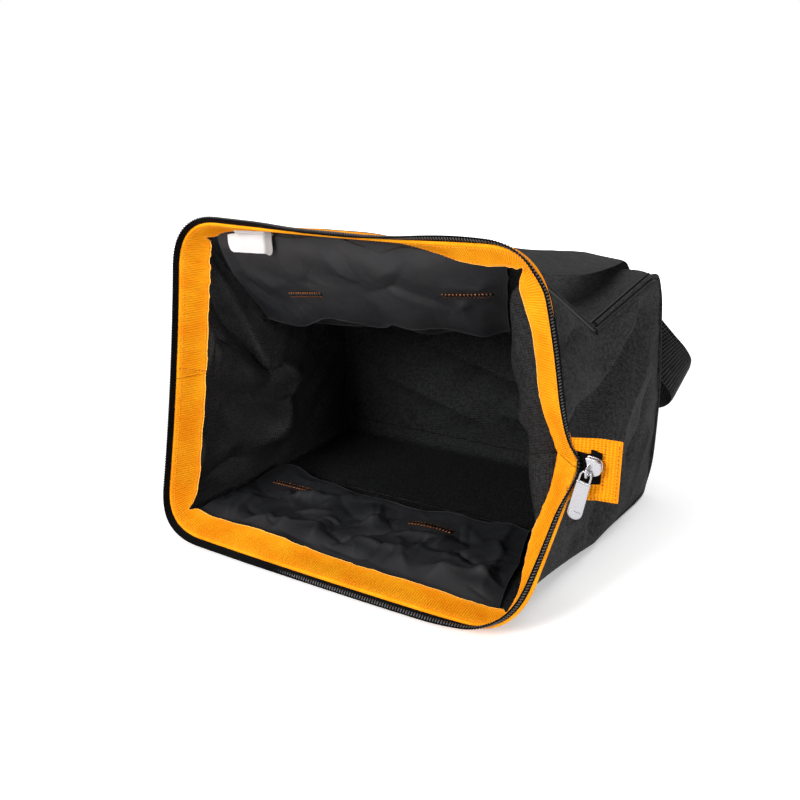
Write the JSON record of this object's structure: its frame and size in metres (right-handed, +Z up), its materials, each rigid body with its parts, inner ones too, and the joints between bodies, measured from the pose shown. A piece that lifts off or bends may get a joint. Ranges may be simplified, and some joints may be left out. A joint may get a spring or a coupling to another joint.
{
  "type": "tool bag",
  "caption": "Soft black tool bag lying on its long side, its framed zip mouth edged in orange tape and standing open, with webbing handles.",
  "frame": {"origin": "middle of the underside of the whole bag's box, handles included", "axes": "+X along the bag's length to the zip's end, +Y from the mouth towards the base, +Z up as it lies"},
  "size_m": [0.386, 0.5008, 0.2862],
  "materials": {
    "nylon": "satin",
    "polyester": "matte",
    "orange_tape": "matte",
    "zip": "satin",
    "metal": "satin",
    "label": "satin",
    "webbing": "matte"
  },
  "bodies": {
    "bag": {"upper_flap": "nylon", "lower_flap": "nylon", "upper_lining": "nylon", "lower_lining": "nylon", "upper_panel": "polyester", "lower_panel": "polyester", "right_end_panel": "polyester", "left_end_panel": "polyester", "base_panel": "polyester", "right_piping": "polyester", "left_piping": "polyester", "upper_mouth_tape": "orange_tape", "lower_mouth_tape": "orange_tape", "upper_zip_chain": "zip", "lower_zip_chain": "zip", "zip_end": "zip", "zip_end_tab": "orange_tape", "zip_slider": "metal", "label": "label", "upper_handle": "webbing", "lower_handle": "webbing"},
    "zip_pull": {"zip_puller": "metal"}
  },
  "joints": [
    {"name": "puller_swing", "type": "hinge", "parent": "bag", "child": "zip_pull", "pos_m": [0.17216, -0.20315, 0.12903], "axis": [-1, 0, 0], "range_deg": [0, 150]}
  ]
}
